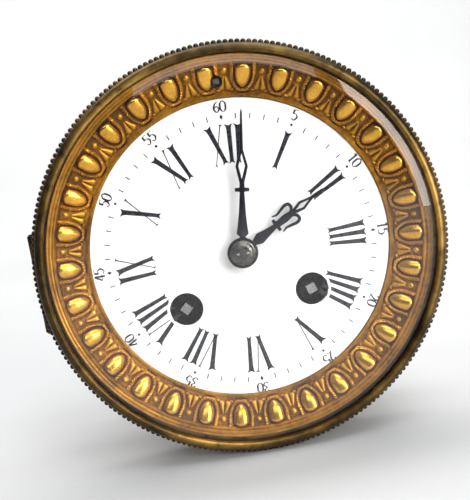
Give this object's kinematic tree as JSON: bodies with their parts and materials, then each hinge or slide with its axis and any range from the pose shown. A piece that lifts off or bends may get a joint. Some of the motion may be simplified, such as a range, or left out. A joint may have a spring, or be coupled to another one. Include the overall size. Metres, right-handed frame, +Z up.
{
  "type": "round clock head",
  "caption": "Round clock head with a hinged glazed bezel, gilt egg-and-dart sight ring, white enamel dial and two-train striking movement.",
  "frame": {"origin": "on the centre arbor at the mounting plane, which is the rear face of the flange that seats on the case", "axes": "+Y back along the arbors into the case, +Z up through twelve on the dial, +X to the reader's right"},
  "size_m": [0.1303, 0.0835, 0.1296],
  "materials": {
    "gilt_brass": "gilt, polished high points over brown recesses",
    "patinated_brass": "lacquered brass gone dark olive-brown, bright on worn edges",
    "movement_brass": "satin, dull with age",
    "steel": "turned and polished steel",
    "blued_steel": "blackened steel hands",
    "spring_steel": "blue-grey spring steel",
    "enamel": "fired white enamel on copper, black printed numerals",
    "copper": "dull copper",
    "clear_glass": "clear flat glass with a ground bevel",
    "bell_steel": "blued-grey bell metal"
  },
  "bodies": {
    "case_head": {"frame_ring": "patinated_brass", "sight_ring": "gilt_brass", "hinge_knuckle": "patinated_brass", "hinge_pin": "patinated_brass", "dial": "enamel", "dial_feet": "copper", "taper_pins": "steel", "front_plate": "movement_brass", "back_plate": "movement_brass", "pillars": "movement_brass", "movement_brackets": "movement_brass", "case_straps": "steel", "frame_screws": "steel", "studs": "steel", "suspension_cock": "movement_brass", "bell_stand": "movement_brass", "bell": "bell_steel", "bell_nut": "steel"},
    "door": {"bezel": "patinated_brass", "glass": "clear_glass", "glass_retainer": "patinated_brass"},
    "minute_train": {"centre_arbor": "steel", "centre_wheel": "movement_brass", "cannon_pinion": "movement_brass", "minute_hand": "blued_steel", "hand_collet": "steel", "hand_pin": "steel"},
    "hour_train": {"hour_wheel": "movement_brass", "hour_hand": "blued_steel"},
    "minute_wheel": {"minute_wheel": "movement_brass"},
    "going_barrel": {"going_barrel": "movement_brass", "going_barrel_cover": "movement_brass", "going_mainspring": "spring_steel"},
    "going_winding": {"going_winding_arbor": "steel", "going_ratchet": "steel"},
    "going_click": {"going_click": "steel"},
    "second_train": {"second_arbor": "steel", "second_wheel": "movement_brass"},
    "third_train": {"third_arbor": "steel", "third_wheel": "movement_brass"},
    "escape": {"escape_arbor": "steel", "escape_wheel": "movement_brass"},
    "anchor": {"anchor": "steel", "crutch": "steel"},
    "regulator": {"regulating_arbor": "steel"},
    "rating_screw": {"rating_screw": "movement_brass"},
    "suspension": {"suspension_slide": "movement_brass", "suspension_spring": "spring_steel"},
    "strike_barrel": {"strike_barrel": "movement_brass"},
    "strike_winding": {"strike_winding_arbor": "steel"},
    "strike_click": {"strike_click": "steel"},
    "strike_second": {"strike_second_arbor": "steel", "strike_second_wheel": "movement_brass"},
    "pin_wheel": {"pin_wheel": "movement_brass"},
    "locking_wheel": {"locking_wheel": "movement_brass"},
    "warning_wheel": {"warning_wheel": "movement_brass"},
    "fly": {"fly": "steel"},
    "count_wheel": {"count_wheel": "movement_brass"},
    "hammer": {"hammer": "steel"},
    "lifting_lever": {"lifting_lever": "steel"}
  },
  "joints": [
    {"name": "door_hinge", "type": "hinge", "parent": "case_head", "child": "door", "pos_m": [-0.0642, -0.003, 0], "axis": [0, 0, -1], "range_deg": [0, 100]},
    {"name": "minute_turn", "type": "hinge", "parent": "case_head", "child": "minute_train", "pos_m": [0, 0, 0], "axis": [0, 1, 0], "continuous": true},
    {"name": "hour_turn", "type": "hinge", "parent": "case_head", "child": "hour_train", "pos_m": [0, 0, 0], "axis": [0, 1, 0], "continuous": true},
    {"name": "minute_wheel_turn", "type": "hinge", "parent": "case_head", "child": "minute_wheel", "pos_m": [0, 0, 0.012], "axis": [0, 1, 0], "continuous": true},
    {"name": "going_barrel_turn", "type": "hinge", "parent": "case_head", "child": "going_barrel", "pos_m": [0.0204, 0, -0.0157], "axis": [0, 1, 0], "continuous": true},
    {"name": "second_turn", "type": "hinge", "parent": "case_head", "child": "second_train", "pos_m": [0.01784, 0, 0.00623], "axis": [0, 1, 0], "continuous": true},
    {"name": "third_turn", "type": "hinge", "parent": "case_head", "child": "third_train", "pos_m": [-0.00886, 0, 0.0159], "axis": [0, 1, 0], "continuous": true},
    {"name": "escape_turn", "type": "hinge", "parent": "case_head", "child": "escape", "pos_m": [0, 0, 0.026], "axis": [0, 1, 0], "continuous": true},
    {"name": "going_winding", "type": "hinge", "parent": "case_head", "child": "going_winding", "pos_m": [0.0204, 0, -0.0157], "axis": [0, 1, 0], "continuous": true},
    {"name": "going_click_lift", "type": "hinge", "parent": "case_head", "child": "going_click", "pos_m": [0.026, 0, -0.0254], "axis": [0, 1, 0], "range_deg": [0, 18], "stiffness_Nm_per_rad": 0.0005},
    {"name": "anchor_swing", "type": "hinge", "parent": "case_head", "child": "anchor", "pos_m": [0, 0, 0.0366], "axis": [0, 1, 0], "range_deg": [-3, 3]},
    {"name": "regulator_turn", "type": "hinge", "parent": "case_head", "child": "regulator", "pos_m": [0, 0, 0.053], "axis": [0, 1, 0], "range_deg": [-1080, 1080]},
    {"name": "rating_screw_turn", "type": "hinge", "parent": "case_head", "child": "rating_screw", "pos_m": [0, 0.043, 0.0425], "axis": [0, 0, 1], "range_deg": [-540, 540]},
    {"name": "suspension_rise", "type": "slide", "parent": "case_head", "child": "suspension", "axis": [0, 0, 1], "range_m": [-0.00075, 0.00075]},
    {"name": "warning_turn", "type": "hinge", "parent": "case_head", "child": "warning_wheel", "pos_m": [-0.01732, 0, 0.02872], "axis": [0, 1, 0], "continuous": true},
    {"name": "fly_turn", "type": "hinge", "parent": "case_head", "child": "fly", "pos_m": [-0.01228, 0, 0.03376], "axis": [0, 1, 0], "continuous": true},
    {"name": "locking_turn", "type": "hinge", "parent": "case_head", "child": "locking_wheel", "pos_m": [-0.02142, 0, 0.02163], "axis": [0, 1, 0], "continuous": true},
    {"name": "pin_wheel_turn", "type": "hinge", "parent": "case_head", "child": "pin_wheel", "pos_m": [-0.02388, 0, 0.01243], "axis": [0, 1, 0], "continuous": true},
    {"name": "strike_second_turn", "type": "hinge", "parent": "case_head", "child": "strike_second", "pos_m": [-0.03144, 0, 0.00342], "axis": [0, 1, 0], "continuous": true},
    {"name": "strike_barrel_turn", "type": "hinge", "parent": "case_head", "child": "strike_barrel", "pos_m": [-0.0204, 0, -0.0157], "axis": [0, 1, 0], "continuous": true},
    {"name": "count_wheel_turn", "type": "hinge", "parent": "case_head", "child": "count_wheel", "pos_m": [-0.02105, 0, -0.00258], "axis": [0, 1, 0], "continuous": true},
    {"name": "strike_winding", "type": "hinge", "parent": "case_head", "child": "strike_winding", "pos_m": [-0.0204, 0, -0.0157], "axis": [0, 1, 0], "continuous": true},
    {"name": "strike_click_lift", "type": "hinge", "parent": "case_head", "child": "strike_click", "pos_m": [-0.026, 0, -0.0254], "axis": [0, 1, 0], "range_deg": [-18, 0], "stiffness_Nm_per_rad": 0.0005},
    {"name": "hammer_lift", "type": "hinge", "parent": "case_head", "child": "hammer", "pos_m": [-0.0335, 0, 0.0175], "axis": [0, 1, 0], "range_deg": [0, 12]},
    {"name": "lever_lift", "type": "hinge", "parent": "case_head", "child": "lifting_lever", "pos_m": [-0.025, 0, 0.0335], "axis": [0, 1, 0], "range_deg": [-3, 0]}
  ],
  "couplings": [
    {"joint": "second_turn", "follows": "minute_turn", "ratio": -0.16667},
    {"joint": "going_barrel_turn", "follows": "minute_turn", "ratio": 0.02381},
    {"joint": "third_turn", "follows": "minute_turn", "ratio": -12},
    {"joint": "escape_turn", "follows": "minute_turn", "ratio": 132},
    {"joint": "minute_wheel_turn", "follows": "minute_turn", "ratio": -0.33333},
    {"joint": "hour_turn", "follows": "minute_turn", "ratio": 0.083333},
    {"joint": "fly_turn", "follows": "warning_turn", "ratio": -7.1429},
    {"joint": "locking_turn", "follows": "warning_turn", "ratio": -0.125},
    {"joint": "pin_wheel_turn", "follows": "warning_turn", "ratio": 0.016667},
    {"joint": "strike_second_turn", "follows": "warning_turn", "ratio": -0.0027778},
    {"joint": "strike_barrel_turn", "follows": "warning_turn", "ratio": 0.00039683},
    {"joint": "count_wheel_turn", "follows": "warning_turn", "ratio": 0.0018519},
    {"joint": "regulator_turn", "follows": "suspension_rise", "rad_per_m": 25133},
    {"joint": "rating_screw_turn", "follows": "suspension_rise", "rad_per_m": -12566}
  ]
}
